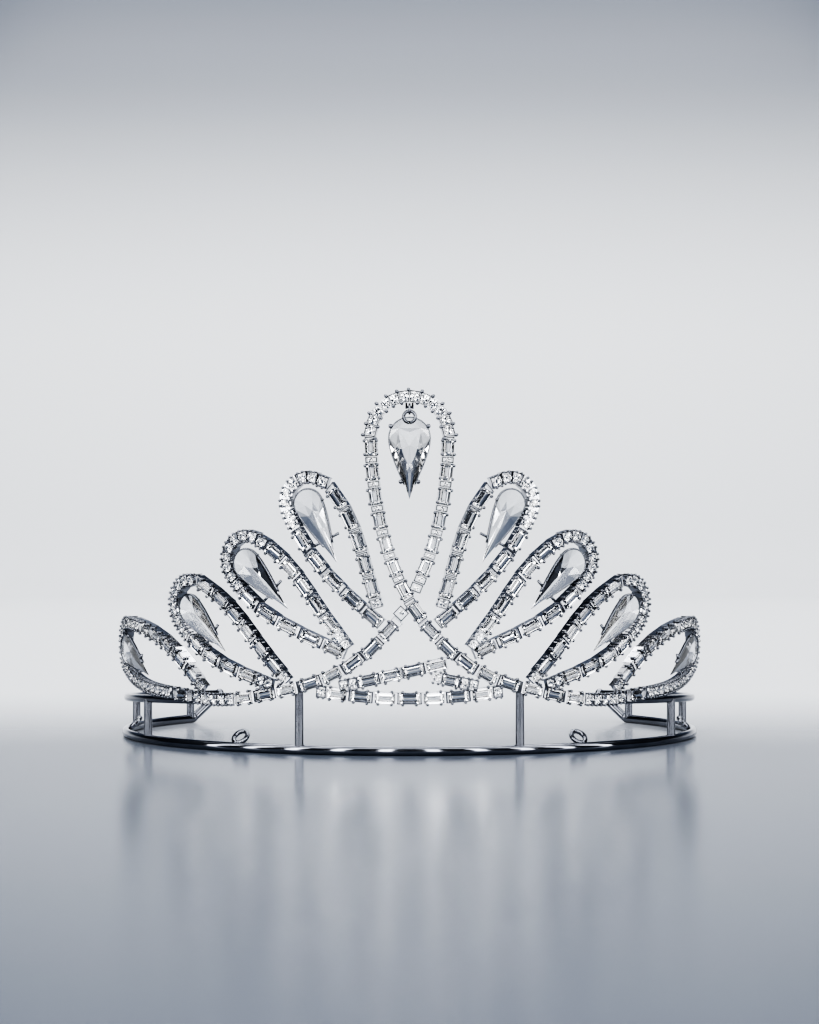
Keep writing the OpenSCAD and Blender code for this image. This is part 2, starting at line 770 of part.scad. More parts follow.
module drop_mount() {
    color(metal) {
        translate([0, hang_y, bail_centre]) half_ring(BAIL_R, bail_wire);
        for (x = [-BAIL_R, BAIL_R]) translate([x, hang_y, bail_centre - 0.5])
            cylinder(d = bail_wire, h = 0.5, $fn = 24);
        drop_frame() difference() {
            union() {
                pear_collar(drop_size, DROP_COLLAR_KEEP);
                for (m = [0, 1], p = DROP_PRONGS) mirror([m, 0, 0]) translate([p[0], p[1], 0]) {
                    translate([0, 0, -0.4]) cylinder(r = BEAD_R * 0.8, h = 1.3);
                    translate([0, 0, 0.9]) sphere(r = BEAD_R);
                }
            }
            linear_extrude(6, center = true)
                polygon(pear_outline(drop_r + 0.04, drop_size[1] - drop_r + 0.14));
        }
    }
}

module drop_stone() {
    color(crystal) drop_frame() pear_stone(drop_size, DROP_CUT[0], DROP_CUT[1]);
}

// ---- assembly: the ring's centre is moved back so that the outline is centred ----

module place(side = 1) {
    translate([0, centre_y, 0]) mirror([side < 0 ? 1 : 0, 0, 0]) children();
}

place() base_wire();
place(-1) side_rail();  // side_rail_left
place() side_rail();  // side_rail_right
place(-1) front_post();  // front_post_left
place() front_post();  // front_post_right
place(-1) side_posts();  // side_posts_left
place() side_posts();  // side_posts_right
place(-1) eyelet(eyelets_at[0]);  // eyelet_front_left
place() eyelet(eyelets_at[0]);  // eyelet_front_right
place(-1) eyelet(eyelets_at[1]);  // eyelet_side_left
place() eyelet(eyelets_at[1]);  // eyelet_side_right
place() centre_loop_setting();
place() centre_loop_baguettes();
place() centre_loop_rounds();
place() centre_band_setting();
place(-1) side_band_setting();  // side_band_setting_left
place() side_band_setting();  // side_band_setting_right
place() band_baguettes();
place() band_rounds();
place() cross_strip_setting_front();
place() cross_strip_setting_back();
place() cross_strip_baguettes();
for (i = [1 : 4]) {
    place(-1) side_loop_setting(i - 1);
    place() side_loop_setting(i - 1);
    place(-1) side_loop_baguettes(i - 1);
    place() side_loop_baguettes(i - 1);
    place(-1) side_loop_rounds(i - 1);
    place() side_loop_rounds(i - 1);
    place(-1) side_pear(i - 1);
    place() side_pear(i - 1);
}
place(-1) side_pear_claws();  // pear_claws_left
place() side_pear_claws();  // pear_claws_right
place() hanger_bar();
place() hanger_link();
place() drop_mount();
place() drop_stone();
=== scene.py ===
"""Looks for a tiara, built round its CAD frame: cut crystals, claw settings, wire and a plain studio."""

import math

import bmesh
import bpy
import numpy as np
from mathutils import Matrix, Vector


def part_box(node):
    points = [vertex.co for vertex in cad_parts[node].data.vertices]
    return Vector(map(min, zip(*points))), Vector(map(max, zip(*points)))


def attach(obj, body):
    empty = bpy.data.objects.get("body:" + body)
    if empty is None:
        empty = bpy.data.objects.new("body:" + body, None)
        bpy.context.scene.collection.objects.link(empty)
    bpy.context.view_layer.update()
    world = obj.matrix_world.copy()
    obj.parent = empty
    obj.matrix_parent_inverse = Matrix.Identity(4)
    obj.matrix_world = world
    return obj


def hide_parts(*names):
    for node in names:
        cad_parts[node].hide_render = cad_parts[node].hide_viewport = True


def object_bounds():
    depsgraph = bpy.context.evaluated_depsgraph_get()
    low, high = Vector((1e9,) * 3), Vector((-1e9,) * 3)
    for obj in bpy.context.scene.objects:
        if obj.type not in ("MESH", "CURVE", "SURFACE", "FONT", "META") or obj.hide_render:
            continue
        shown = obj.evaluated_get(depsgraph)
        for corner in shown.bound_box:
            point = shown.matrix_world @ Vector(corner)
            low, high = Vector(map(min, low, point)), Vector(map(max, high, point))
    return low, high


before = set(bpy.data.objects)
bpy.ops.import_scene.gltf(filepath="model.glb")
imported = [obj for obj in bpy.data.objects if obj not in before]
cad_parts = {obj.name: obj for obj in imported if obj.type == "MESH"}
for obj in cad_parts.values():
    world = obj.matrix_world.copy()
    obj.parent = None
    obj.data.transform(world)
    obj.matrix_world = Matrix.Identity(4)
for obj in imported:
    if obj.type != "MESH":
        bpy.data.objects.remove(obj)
cad_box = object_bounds()

MM = 0.001
SIDES = ("left", "right")

# The base ring stands on the floor. Its centre lies half its width behind its front.
wire_low, wire_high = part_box("base_wire")
RING_CENTRE_Y = wire_low.y + (wire_high.x - wire_low.x) / 2
FLARE = math.radians(1.5)

# Height of a baguette over its girdle's lower edge, in millimetres, and of a round stone, in radii
CROWN_H = 0.65
ROUND_CROWN = 0.5
# A stone this much longer than it is wide, or more, is a baguette
BAGUETTE_RATIO = 1.25
# Round stones smaller than this radius, in millimetres, have no prongs
PRONGED_FROM = 0.9
# Settings, in millimetres
CUP_HALF = 1.4
CUP_WALL = 0.26
CUP_FRONT = -0.05
CUP_BACK_LOW = -1.8
CUP_BACK_HIGH = -2.75
CUP_RAIL = 0.32
SLIT = 0.14
# Upright slots in the side wall of a baguette's cup
CUP_SLOTS = 2
END_LIFT = 0.5
# Heights between which the settings get deeper, above the posts that stand behind them
DEEPER_FROM = 17.2
DEEPER_TO = 21
BEAD_R = 0.43


def outward(point):
    """The ribbons' outward direction at a point: away from the ring's axis, and a little down."""
    radial = Vector((point.x, point.y - RING_CENTRE_Y, 0)).normalized()
    return radial * math.cos(FLARE) - Vector((0, 0, math.sin(FLARE)))


# ---- reading the places of the stones from the CAD nodes ----

def islands(node):
    """The separate solids of a CAD node, each as an array of its points in millimetres."""
    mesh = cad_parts[node].data
    keys = {}
    index = []
    for v in mesh.vertices:
        key = tuple(round(c * 1e5) for c in v.co)
        index.append(keys.setdefault(key, len(keys)))
    parent = list(range(len(keys)))

    def root(i):
        while parent[i] != i:
            parent[i] = parent[parent[i]]
            i = parent[i]
        return i

    for a, b in (e.vertices for e in mesh.edges):
        parent[root(index[a])] = root(index[b])
    groups = {}
    for key, i in keys.items():
        groups.setdefault(root(i), []).append([c * 1e-5 / MM for c in key])
    return [np.array(points) for points in groups.values()]


class Stone:
    """A stone's place: origin at the girdle plane, a across, t along, n outward, half its length."""

    def __init__(self, points):
        middle = points.mean(0)
        n = outward(Vector(middle) * MM)
        heights = points @ np.array(n)
        _, _, axes = np.linalg.svd(points - middle)
        t = Vector(axes[0])
        t = (t - t.dot(n) * n).normalized()
        along = points @ np.array(t)
        across = points @ np.array(t.cross(n))
        self.half = (along.max() - along.min()) / 2
        self.half_across = (across.max() - across.min()) / 2
        centre = t * (along.max() + along.min()) / 2 + t.cross(n) * (across.max() + across.min()) / 2
        self.round = self.half < BAGUETTE_RATIO * self.half_across
        crown = ROUND_CROWN * self.half if self.round else CROWN_H
        self.o = centre + n * (heights.max() - crown)
        self.n = n
        self.t = t

    def turn(self, t):
        self.t = (t - t.dot(self.n) * self.n).normalized()

    @property
    def a(self):
        return self.t.cross(self.n)

    def end(self, way):
        return self.o + self.t * self.half * way

    def at(self, across, along, out):
        return self.o + self.a * across + self.t * along + self.n * out


# Within a ribbon, in millimetres: how far the next round stone may lie, how far a baguette beside a
# round stone may lie, and how far off its line the round stone may be
NEXT_ROUND = 3.1
NEXT_BAGUETTE = 8
OFF_LINE = 1.2
# Cosine between the ways to two neighbours that lie on either side
OPPOSITE = -0.3


def orient_rounds(stones):
    """Gives each round stone the direction of the ribbon, from the stones beside it."""
    rounds = [s for s in stones if s.round]
    bars = [s for s in stones if not s.round]
    for s in rounds:
        near = sorted((o for o in rounds if o is not s and (o.o - s.o).length < NEXT_ROUND),
                      key=lambda o: (o.o - s.o).length)[:2]
        if near and s.half > PRONGED_FROM:
            d = [(o.o - s.o).normalized() for o in near]
            s.turn(d[0] - d[1] if len(d) > 1 and d[0].dot(d[1]) < OPPOSITE else d[0])
            continue
        on_line = [b for b in bars if (s.o - b.o).cross(b.t).length < OFF_LINE
                   and (s.o - b.o).length < NEXT_BAGUETTE]
        if on_line:
            nearest = min(on_line, key=lambda b: (s.o - b.o).length)
            far = [b for b in on_line if (s.o - b.o).dot(s.o - nearest.o) < 0]
            t = nearest.t
            if far:
                other = min(far, key=lambda b: (s.o - b.o).length)
                t = t + other.t * (1 if other.t.dot(t) > 0 else -1)
            s.turn(t)


# Two stones are neighbours if they face each other (least cosine) over a gap of this length and
# offset, in millimetres; past the last stone a cup goes on a little
FACING = 0.7
NEIGHBOUR_GAP = 2.6
NEIGHBOUR_OFFSET = 0.8
LAST_MARGIN = 0.4


def end_plane(stone, way, stones):
    """Where a stone's cup ends: a point and a direction, half-way to the next stone, and that stone."""
    tip = stone.end(way)
    best = None
    for other in stones:
        if other is stone:
            continue
        for other_way in (-1, 1):
            step = other.end(other_way) - tip
            faces = -other.t.dot(stone.t) * other_way * way
            ahead = (other.o - stone.o).dot(stone.t) * way
            if faces <= FACING or ahead <= 0 or step.length >= NEIGHBOUR_GAP:
                continue
            if step.cross(stone.t).length < NEIGHBOUR_OFFSET and (best is None or step.length < best[0]):
                best = (step.length, other, other_way)
    if best is None:
        return tip + stone.t * way * LAST_MARGIN, stone.t * way, None
    _, other, other_way = best
    return (tip + other.end(other_way)) / 2, (stone.t * way - other.t * other_way).normalized(), other


# ---- mesh building ----

class Builder:
    """Collects closed shapes, in millimetres, and makes one piece of them."""

    def __init__(self):
        self.points = []
        self.faces = []
        self.smooth = []

    def add(self, points, faces, smooth=False):
        base = len(self.points)
        self.points += [tuple(p) for p in points]
        self.faces += [tuple(base + i for i in f) for f in faces]
        self.smooth += [smooth] * len(faces)

    def piece(self, name, material, body, slot, nodes):
        mesh = bpy.data.meshes.new(name)
        mesh.from_pydata([[c * MM for c in p] for p in self.points], [], self.faces)
        mesh.polygons.foreach_set("use_smooth", self.smooth)
        shape = bmesh.new()
        shape.from_mesh(mesh)
        bmesh.ops.recalc_face_normals(shape, faces=shape.faces)
        shape.to_mesh(mesh)
        shape.free()
        mesh.materials.append(material)
        obj = bpy.data.objects.new(name, mesh)
        bpy.context.scene.collection.objects.link(obj)
        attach(obj, body)
        if nodes:
            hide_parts(*nodes)
        return obj


def loft(rings):
    """A closed solid through rings of equal length."""
    m = len(rings[0])
    faces = []
    for r in range(len(rings) - 1):
        for k in range(m):
            a, b = r * m + k, r * m + (k + 1) % m
            faces.append((a, b, b + m, a + m))
    faces.append(tuple(range(m - 1, -1, -1)))
    faces.append(tuple((len(rings) - 1) * m + k for k in range(m)))
    return [p for ring in rings for p in ring], faces


BEAD_RINGS = 5
BEAD_SIDES = 8


def bead(builder, place, across, along, out, radius, stretch=1.0):
    """A rounded prong head: a squashed ball, longer across the ribbon than along it."""
    points = [place.at(across, along, out + radius)]
    for i in range(1, BEAD_RINGS):
        polar = math.pi * i / BEAD_RINGS
        r = radius * math.sin(polar)
        for k in range(BEAD_SIDES):
            turn = 2 * math.pi * k / BEAD_SIDES
            points.append(place.at(across + r * math.cos(turn) * stretch, along + r * math.sin(turn),
                                   out + radius * math.cos(polar)))
    points.append(place.at(across, along, out - radius))
    last = len(points) - 1
    faces = []
    for k in range(BEAD_SIDES):
        nxt = (k + 1) % BEAD_SIDES
        faces.append((0, 1 + k, 1 + nxt))
        faces.append((last, last - BEAD_SIDES + nxt, last - BEAD_SIDES + k))
        for i in range(BEAD_RINGS - 2):
            a = 1 + i * BEAD_SIDES
            faces.append((a + k, a + BEAD_SIDES + k, a + BEAD_SIDES + nxt, a + nxt))
    builder.add(points, faces, smooth=True)


def stem(builder, place, across, along, low, high, radius):
    """A prong's round shaft."""
    rings = [[place.at(across + radius * math.cos(2 * math.pi * k / BEAD_SIDES),
                       along + radius * math.sin(2 * math.pi * k / BEAD_SIDES), out)
              for k in range(BEAD_SIDES)] for out in (low, high)]
    builder.add(*loft(rings), smooth=True)


BEAD_OUT = 0.24
STEM_SHARE = 0.6


def prong(builder, place, across, along, back, radius=BEAD_R, stretch=1.0):
    stem(builder, place, across, along, back, BEAD_OUT, radius * STEM_SHARE)
    bead(builder, place, across, along, BEAD_OUT, radius, stretch)


# ---- stones ----

def rectangle(place, half_across, half_along, out):
    return [place.at(half_across, -half_along, out), place.at(half_across, half_along, out),
            place.at(-half_across, half_along, out), place.at(-half_across, -half_along, out)]


# Steps of a baguette, from culet to table: share of its half width, inset of its ends, height
BAGUETTE_STEPS = [(0.03, 1.15, -1.15), (0.34, 0.85, -0.95), (0.68, 0.50, -0.58), (0.97, 0.05, 0.0),
                  (0.97, 0.05, 0.2), (0.82, 0.28, 0.46), (0.58, 0.55, 0.64)]


def cut_baguette(builder, s):
    builder.add(*loft([rectangle(s, s.half_across * wide, s.half - inset, out)
                       for wide, inset, out in BAGUETTE_STEPS]))


def brilliant(builder, place, outline, sectors, centre, shares, heights):
    """A brilliant cut inside an outline: a table, stars, kites and girdle facets over a pavilion.

    shares holds how far from the centre to the outline the table's corners, the first of them, the
    shoulders and the pavilion's shoulders lie; heights those of the table, the shoulders, the
    girdle's edges, the pavilion's shoulders and the culet.
    """
    per = len(outline) // sectors
    count = len(outline)

    def ring(offset, share, out, first_share=None):
        points = []
        for k in range(sectors):
            x, y = outline[(k * per + offset) % count]
            part = first_share if first_share and k == 0 else share
            points.append(place.at(centre[0] + part * (x - centre[0]),
                                   centre[1] + part * (y - centre[1]), out))
        return points

    points = ring(0, shares[0], heights[0], shares[1]) + ring(per // 2, shares[2], heights[1])
    points += [place.at(x, y, out) for out in heights[2:4] for x, y in outline]
    points += ring(per // 2, shares[3], heights[4]) + [place.at(centre[0], centre[1], heights[5])]
    shoulder, top = sectors, 2 * sectors
    low, pavilion = top + count, top + 2 * count
    culet = pavilion + sectors
    faces = [tuple(range(sectors))]
    for k in range(sectors):
        nxt = (k + 1) % sectors
        corner = (nxt * per) % count
        faces.append((k, shoulder + k, nxt))
        faces.append((shoulder + k, top + corner, shoulder + nxt, nxt))
        faces.append((pavilion + k, low + corner, pavilion + nxt))
        faces.append((pavilion + k, pavilion + nxt, culet))
        for j in range(k * per, (k + 1) * per):
            after = (j + 1) % count
            faces.append((shoulder + k, top + j, top + after))
            faces.append((top + j, low + j, low + after, top + after))
            faces.append((pavilion + k, low + after, low + j))
    builder.add(points, faces)


def cut_round(builder, s):
    r = s.half
    outline = [(r * math.cos(2 * math.pi * k / 16), r * math.sin(2 * math.pi * k / 16)) for k in range(16)]
    heights = [out * r for out in (0.48, 0.34, 0.17, 0.05, -0.5, -0.84)]
    brilliant(builder, s, outline, 8, (0, 0), (0.58, 0.58, 0.80, 0.42), heights)


# ---- settings ----

def cup_back(stone):
    """How deep a cup reaches: shallow low on the tiara, where wires and posts pass behind."""
    k = min(1, max(0, (stone.o.z - DEEPER_FROM) / (DEEPER_TO - DEEPER_FROM)))
    return CUP_BACK_LOW + (CUP_BACK_HIGH - CUP_BACK_LOW) * k


def cup(builder, s, stones, slots):
    """A cup round one stone: side walls with upright slots, rails above and below them, end walls."""
    back = cup_back(s)
    planes = {way: end_plane(s, way, stones) for way in (-1, 1)}

    def reach(across, way, inset=0.0):
        """How far along a line at that distance across runs to the cup's end face."""
        m_point, m_dir, _ = planes[way]
        to_plane = (m_point - s.o).dot(m_dir) - across * s.a.dot(m_dir) - SLIT / 2 - inset
        return to_plane / s.t.dot(m_dir)

    def slab(across_a, along_a, across_b, along_b, low, high):
        corners = [(across_a, along_a[0]), (across_b, along_b[0]),
                   (across_b, along_b[1]), (across_a, along_a[1])]
        builder.add(*loft([[s.at(x, y, out) for x, y in corners] for out in (low, high)]))

    for side in (-1, 1):
        outer, inner = side * CUP_HALF, side * (CUP_HALF - CUP_WALL)
        spans = {x: (reach(x, -1), reach(x, 1)) for x in (outer, inner)}
        slab(outer, spans[outer], inner, spans[inner], CUP_FRONT - CUP_RAIL, CUP_FRONT)
        slab(outer, spans[outer], inner, spans[inner], back, back + CUP_RAIL)
        for k in range(slots + 1):
            cut = {}
            for x, (low, high) in spans.items():
                step = (high - low) / (slots + 1)
                cut[x] = (low + k * step + (SLIT if k else 0),
                          low + (k + 1) * step - (SLIT if k < slots else 0))
            slab(outer, cut[outer], inner, cut[inner], back + CUP_RAIL, CUP_FRONT - CUP_RAIL)
    x = CUP_HALF - CUP_WALL
    for way in (-1, 1):
        near = [reach(across, way, CUP_WALL) for across in (-x, x)]
        far = [reach(across, way) for across in (-x, x)]
        slab(-x, (near[0], far[0]), x, (near[1], far[1]), back + END_LIFT, CUP_FRONT)
    return planes


# Prongs' places, from a stone's centre: across, and along the ribbon
BAGUETTE_PRONG = (1.48, 1.62)
ROUND_PRONG = (1.38, 0.66)
SHARED_PRONG_ACROSS = 1.46
# Their beads' radii as shares of BEAD_R, and the shared ones' stretch across
ROUND_SHARE = 0.84
SHARED_SHARE = 1.1
SHARED_STRETCH = 1.25
PRONG_LOW = -1.1


# How near the swinging link a prong may stand, in millimetres
LINK_ROOM = 1.2


def by_link(point):
    """Whether a prong there would stand in the way of the centre drop's link."""
    low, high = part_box("hanger_link")
    return all(low[i] / MM - LINK_ROOM < point[i] < high[i] / MM + LINK_ROOM for i in (0, 2))


def setting(name, stones, nodes, shared_prongs=False):
    """One ribbon's cups, and its prongs as a second piece."""
    cups, prongs = Builder(), Builder()
    order = {id(s): i for i, s in enumerate(stones)}
    for s in stones:
        planes = cup(cups, s, stones, 0 if s.round else CUP_SLOTS)
        if s.round and s.half < PRONGED_FROM:
            continue
        if s.round and shared_prongs:
            for point, _, other in planes.values():
                if (other is None or order[id(other)] > order[id(s)] or not other.round
                        or other.half < PRONGED_FROM):
                    along = (point - s.o).dot(s.t)
                    for across in (-SHARED_PRONG_ACROSS, SHARED_PRONG_ACROSS):
                        if by_link(s.at(across, along, 0)):
                            continue
                        prong(prongs, s, across, along, PRONG_LOW, BEAD_R * SHARED_SHARE, SHARED_STRETCH)
            continue
        place, radius = (ROUND_PRONG, BEAD_R * ROUND_SHARE) if s.round else (BAGUETTE_PRONG, BEAD_R)
        for across in (-place[0], place[0]):
            for along in (-place[1], place[1]):
                prong(prongs, s, across, along, PRONG_LOW, radius)
    cups.piece(name + "_cups", CHANNEL, "frame", "setting_metal", nodes)
    prongs.piece(name + "_prongs", CLAW, "frame", "claw_metal", [])


# ---- pears ----

# Height of the CAD pears' girdle's upper edge over its middle, in millimetres
PEAR_GIRDLE = 0.15


def pear_place(node):
    """A pear's place: origin at the centre of its round end, t towards its tip."""
    points = islands(node)[0]
    middle = points.mean(0)
    n = outward(Vector(middle) * MM)
    if node == "drop_stone":
        n = Vector((0, -1, 0))
    flat = points - np.outer((points - middle) @ np.array(n), np.array(n))
    _, _, axes = np.linalg.svd(flat - middle)
    t = Vector(axes[0])
    t = (t - t.dot(n) * n).normalized()
    along = points @ np.array(t)
    if (along.max() + along.min()) / 2 < np.median(along):
        t, along = -t, -along
    a = t.cross(n)
    across = points @ np.array(a)
    heights = points @ np.array(n)
    place = Stone.__new__(Stone)
    place.n, place.t, place.round = n, t, False
    place.half_across = (across.max() - across.min()) / 2
    place.length = along.max() - along.min()
    head = along.min() + place.half_across
    place.tip = along.max() - head
    levels = sorted(set(round(float(h), 2) for h in heights))
    place.crown = levels[-1] - levels[-2]
    place.pavilion = levels[1] - levels[0]
    place.o = t * head + a * (across.max() + across.min()) / 2 + n * (levels[-2] - PEAR_GIRDLE)
    return place


def bezier(a, b, c, d, t):
    return (1 - t) ** 3 * a + 3 * t * (1 - t) ** 2 * b + 3 * t * t * (1 - t) * c + t ** 3 * d


def pear_outline(r, tip, count):
    """Points round a pear, anticlockwise from the tip's side, as (across, along)."""
    side = []
    for i in range(1, count):
        k = i / count
        side.append((bezier(r, r, 0.2 * r, 0, k), bezier(0, 0.3 * tip, 0.72 * tip, tip, k)))
    arc = [(r * math.cos(math.pi * i / count), -r * math.sin(math.pi * i / count)) for i in range(count + 1)]
    return [(0.0, tip)] + side[::-1] + arc + [(-x, y) for x, y in side]


def cut_pear(builder, s):
    """A pear brilliant with a big six-sided table and long facets towards its tip."""
    outline = pear_outline(s.half_across, s.tip, 8)
    heights = [s.crown + 0.14, 0.55 * s.crown + 0.14, 0.14, -0.14, -0.62 * s.pavilion, -s.pavilion]
    brilliant(builder, s, outline, 6, (0, 0.12 * s.tip), (0.47, 0.38, 0.78, 0.45), heights)


# Section of the collars round the pears: (distance outwards from the stone, height)
COLLAR = [(0.03, -0.45), (0.30, -0.45), (0.34, 0.08), (0.22, 0.30), (-0.10, 0.34), (0.03, 0.16)]
THIN_COLLAR = [(0.02, -0.42), (0.20, -0.42), (0.24, 0.06), (0.16, 0.24), (-0.06, 0.28), (0.02, 0.14)]


def collar(builder, s, keep, section):
    """A thin collar round a pear's girdle, which ends at a share of the way to its tip."""
    outline = pear_outline(s.half_across, s.tip, 16)
    rings = []
    for k, (x, y) in enumerate(outline):
        if y > keep * s.tip:
            continue
        before, after = outline[k - 1], outline[(k + 1) % len(outline)]
        way = Vector((after[0] - before[0], after[1] - before[1])).normalized()
        rings.append([s.at(x - way.y * off, y + way.x * off, out) for off, out in section])
    builder.add(*loft(rings), smooth=True)


TUBE_SIDES = 16


def tube(builder, path, radius, side):
    """A round wire along a path that lies square to the direction called side."""
    rings = []
    for k, p in enumerate(path):
        way = (path[min(k + 1, len(path) - 1)] - path[max(k - 1, 0)]).normalized()
        other = way.cross(side)
        rings.append([p + radius * (math.cos(turn) * side + math.sin(turn) * other)
                      for turn in (2 * math.pi * j / TUBE_SIDES for j in range(TUBE_SIDES))])
    builder.add(*loft(rings), smooth=True)


PIN_R = 0.36
# Where a side pear's pins stand, as a share of the way to its tip, and the ends of its collar
PIN_AT = 0.62
COLLAR_END = 0.76


def pear_claws(side, places):
    """Collars, side beads and the pins that hold the side pears between their loop's legs."""
    builder = Builder()
    solids = islands(f"pear_claws_{side}")
    for s in places:
        collar(builder, s, COLLAR_END, COLLAR)
        points = min(solids, key=lambda found: (Vector(found.mean(0)) - s.o).length)
        local = [(Vector(p) - s.o) for p in points]
        along = PIN_AT * s.tip
        near = [d.dot(s.a) for d in local if abs(d.dot(s.t) - along) < PIN_R]
        for end in (min(near), max(near)):
            start = math.copysign(s.half_across * (1 - PIN_AT) * 1.12, end)
            tube(builder, [s.at(start, along, -0.1), s.at(end, along, -0.1)], PIN_R, s.t)
            prong(builder, s, math.copysign(s.half_across + 0.25, end), 0.8, -0.5, 0.4)
    builder.piece(f"pear_claws_{side}_fine", CLAW, "frame", "claw_metal", [f"pear_claws_{side}"])


BAIL_R = 1.4
BAIL_WIRE_R = 0.42
BAIL_STEPS = 36
# Prongs of the centre drop, from its head's centre: across and towards the tip
DROP_PRONGS = [(4.45, -2.8), (2.05, 10.4)]


def drop_mount(s):
    """The centre drop's bail, thin collar and prongs."""
    builder = Builder()
    low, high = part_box("drop_mount")
    link_low, link_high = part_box("hanger_link")
    y = (link_low.y + link_high.y) / 2 / MM
    centre = high.z / MM - BAIL_WIRE_R - BAIL_R
    bail = [Vector((BAIL_R * math.sin(turn), y, centre - BAIL_R * math.cos(turn)))
            for turn in (2 * math.pi * k / BAIL_STEPS for k in range(BAIL_STEPS + 1))]
    tube(builder, bail, BAIL_WIRE_R, Vector((0, 1, 0)))
    collar(builder, s, 0.82, THIN_COLLAR)
    for across, along in DROP_PRONGS:
        for way in (-1, 1):
            prong(builder, s, across * way, along, -0.4, 0.62)
    builder.piece("drop_mount_fine", CLAW, "drop", "claw_metal", ["drop_mount"])


# ---- materials ----

def new_material(name):
    material = bpy.data.materials.new(name)
    material.use_nodes = True
    nodes = material.node_tree.nodes
    return material, nodes, material.node_tree.links, nodes["Principled BSDF"]


def add_node(nodes, kind, **values):
    node = nodes.new(kind)
    for key, value in values.items():
        if hasattr(node, key):
            setattr(node, key, value)
        else:
            node.inputs[key.replace("_", " ")].default_value = value
    return node


def polished_metal(name, dark, light, rough_low, rough_high):
    """Rhodium-plated metal: faint tone changes, polish marks in the roughness and a very fine ripple. Its
    dark and light base colours hold painted shade.
    """
    material, nodes, links, shader = new_material(name)
    shader.inputs["Metallic"].default_value = 1.0
    coords = add_node(nodes, "ShaderNodeTexCoord")
    cloud = add_node(nodes, "ShaderNodeTexNoise", Scale=160.0, Detail=3.0)
    marks = add_node(nodes, "ShaderNodeTexNoise", Scale=2600.0, Detail=4.0)
    tone = add_node(nodes, "ShaderNodeValToRGB")
    tone.color_ramp.elements[0].position = 0.35
    tone.color_ramp.elements[0].color = (*dark, 1)
    tone.color_ramp.elements[1].position = 0.7
    tone.color_ramp.elements[1].color = (*light, 1)
    rough = add_node(nodes, "ShaderNodeMapRange", To_Min=rough_low, To_Max=rough_high)
    ripple = add_node(nodes, "ShaderNodeBump", Strength=0.04, Distance=0.00002)
    for texture in (cloud, marks):
        links.new(coords.outputs["Object"], texture.inputs["Vector"])
    links.new(cloud.outputs["Fac"], tone.inputs["Fac"])
    links.new(tone.outputs["Color"], shader.inputs["Base Color"])
    links.new(marks.outputs["Fac"], rough.inputs["Value"])
    links.new(rough.outputs["Result"], shader.inputs["Roughness"])
    links.new(marks.outputs["Fac"], ripple.inputs["Height"])
    links.new(ripple.outputs["Normal"], shader.inputs["Normal"])
    return material


def crystal(name, ior, dark, light):
    """Clear cut crystal: each stone differs a little in tone, and its facets keep a trace of the polish."""
    material, nodes, links, shader = new_material(name)
    shader.inputs["Transmission Weight"].default_value = 1.0
    shader.inputs["IOR"].default_value = ior
    shader.inputs["Specular IOR Level"].default_value = 0.5
    coords = add_node(nodes, "ShaderNodeTexCoord")
    island = add_node(nodes, "ShaderNodeNewGeometry")
    tone = add_node(nodes, "ShaderNodeValToRGB")
    tone.color_ramp.elements[0].color = (*dark, 1)
    tone.color_ramp.elements[1].color = (*light, 1)
    marks = add_node(nodes, "ShaderNodeTexNoise", Scale=900.0, Detail=3.0)
    rough = add_node(nodes, "ShaderNodeMapRange", To_Min=0.0, To_Max=0.02)
    links.new(island.outputs["Random Per Island"], tone.inputs["Fac"])
    links.new(tone.outputs["Color"], shader.inputs["Base Color"])
    links.new(coords.outputs["Object"], marks.inputs["Vector"])
    links.new(marks.outputs["Fac"], rough.inputs["Value"])
    links.new(rough.outputs["Result"], shader.inputs["Roughness"])
    return material


# One rhodium-plated metal in three darkened copies, with painted shade for the dark room it reflects:
# darkest on the wire and claws, lighter on the settings
WIRE = polished_metal("polished_wire_painted_shade", (0.17, 0.18, 0.21), (0.25, 0.26, 0.29), 0.04, 0.09)
CHANNEL = polished_metal("polished_setting_painted_shade", (0.38, 0.39, 0.42), (0.58, 0.59, 0.62), 0.05, 0.13)
CLAW = polished_metal("polished_claw_painted_shade", (0.14, 0.15, 0.17), (0.23, 0.24, 0.27), 0.05, 0.12)
BAGUETTE = crystal("crystal_baguette", 1.72, (0.93, 0.95, 0.98), (1.0, 1.0, 1.0))
BRILLIANT = crystal("crystal_round", 1.9, (0.92, 0.94, 0.98), (1.0, 1.0, 1.0))
PEAR = crystal("crystal_pear", 1.85, (0.90, 0.92, 0.95), (0.98, 0.99, 1.0))
DROP = crystal("crystal_drop", 1.66, (0.96, 0.97, 0.99), (1.0, 1.0, 1.0))


# ---- pieces ----

def stones_of(*nodes):
    found = [Stone(points) for node in nodes for points in islands(node)]
    orient_rounds(found)
    return found


# Run-on stones, which the CAD lacks: the most in a row, their spacing and first gap, how near they
# come to another ribbon's stones, and their radius, in millimetres
RUN_MOST = 3
RUN_PITCH = 2.15
RUN_GAP = 0.3
RUN_CLEAR = 2.0
RUN_STONE_R = 0.95


def beside(point, s):
    """How far a point lies from a stone's middle line."""
    along = max(-s.half, min(s.half, (point - s.o).dot(s.t)))
    return (point - s.o - s.t * along).length


def run_on(stones, obstacles, feet_only=True):
    """Small round stones that carry a ribbon on from its last stone to the ribbon it meets."""
    added = []
    for s in stones:
        for way in (-1, 1):
            if s.round or feet_only and s.t.z * way > 0 or end_plane(s, way, stones)[2] is not None:
                continue
            for k in range(RUN_MOST):
                o = s.end(way) + s.t * way * (RUN_PITCH * (k + 0.5) + RUN_GAP)
                if min(beside(o, other) for other in obstacles + stones if other is not s) < RUN_CLEAR:
                    break
                small = Stone.__new__(Stone)
                small.o, small.n, small.round = o, outward(o * MM), True
                small.half = small.half_across = RUN_STONE_R
                small.turn(s.t)
                added.append(small)
    return added


def cut_stones(name, node, stones, material, slot):
    builder = Builder()
    for s in stones:
        (cut_round if s.round else cut_baguette)(builder, s)
    return builder.piece(name, material, "frame", slot, [node])


